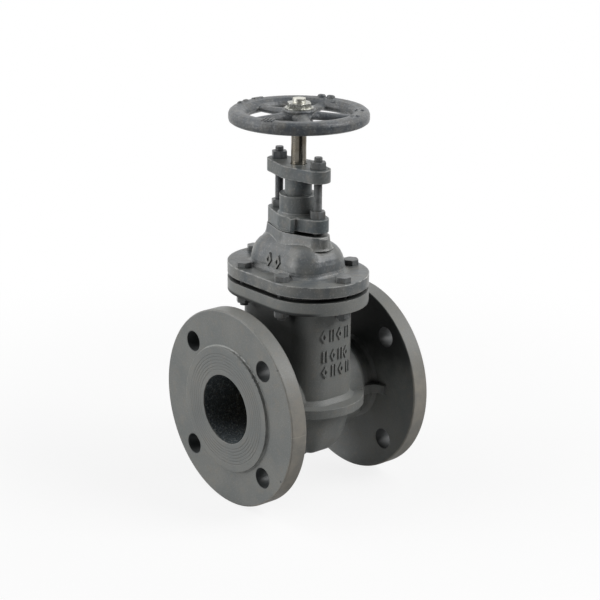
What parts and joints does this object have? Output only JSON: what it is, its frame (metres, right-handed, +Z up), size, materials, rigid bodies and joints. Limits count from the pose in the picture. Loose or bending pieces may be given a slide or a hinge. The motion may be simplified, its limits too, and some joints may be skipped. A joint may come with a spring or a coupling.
{
  "type": "wedge gate valve",
  "caption": "Flanged wedge gate valve: a handwheel turns an inside screw that lifts a wedge between two seats, to open or shut a pipe.",
  "frame": {"origin": "centre of the inlet flange's raised face, on the axis of the pipe", "axes": "+X along the pipe from the inlet flange to the outlet flange, +Z up along the stem"},
  "size_m": [0.17, 0.185, 0.3703],
  "materials": {
    "body": "satin grey paint on rough cast iron",
    "bonnet": "satin grey paint on rough cast iron",
    "stuffing_box": "satin grey paint on rough cast iron",
    "gland": "satin grey paint on rough cast iron",
    "handwheel": "grey paint on rough cast iron",
    "wedge": "bare cast iron",
    "seat_brass": "turned brass",
    "bolt_steel": "steel, painted over with the casting",
    "stem": "turned stainless steel",
    "wheel_zinc": "bright zinc plating",
    "sheet": "compressed sheet gasket",
    "packing": "graphite packing rings"
  },
  "bodies": {
    "valve": {"body": "body", "inlet_seat_ring": "seat_brass", "outlet_seat_ring": "seat_brass", "cover_gasket": "sheet", "bonnet": "bonnet", "cover_bolt_1": "bolt_steel", "cover_bolt_2": "bolt_steel", "cover_bolt_3": "bolt_steel", "cover_bolt_4": "bolt_steel", "cover_bolt_5": "bolt_steel", "cover_bolt_6": "bolt_steel", "cover_nuts": "bolt_steel", "head_gasket": "sheet", "stuffing_box": "stuffing_box", "gland_bolt_left": "bolt_steel", "gland_bolt_right": "bolt_steel", "box_nut_left": "bolt_steel", "box_nut_right": "bolt_steel", "gland_packing": "packing", "gland": "gland", "gland_nut_left": "bolt_steel", "gland_nut_right": "bolt_steel"},
    "stem": {"stem": "stem", "handwheel": "handwheel", "wheel_washer": "wheel_zinc", "wheel_nut": "wheel_zinc"},
    "wedge": {"wedge": "wedge", "inlet_wedge_ring": "seat_brass", "outlet_wedge_ring": "seat_brass", "stem_nut": "seat_brass"}
  },
  "joints": [
    {"name": "handwheel_turn", "type": "hinge", "parent": "valve", "child": "stem", "pos_m": [0.085, 0, 0.26], "axis": [0, 0, 1], "range_deg": [0, 6660]},
    {"name": "wedge_lift", "type": "slide", "parent": "valve", "child": "wedge", "axis": [0, 0, 1], "range_m": [0, 0.0745]}
  ],
  "couplings": [
    {"joint": "wedge_lift", "follows": "handwheel_turn", "m_per_rad": 0.00063662}
  ]
}
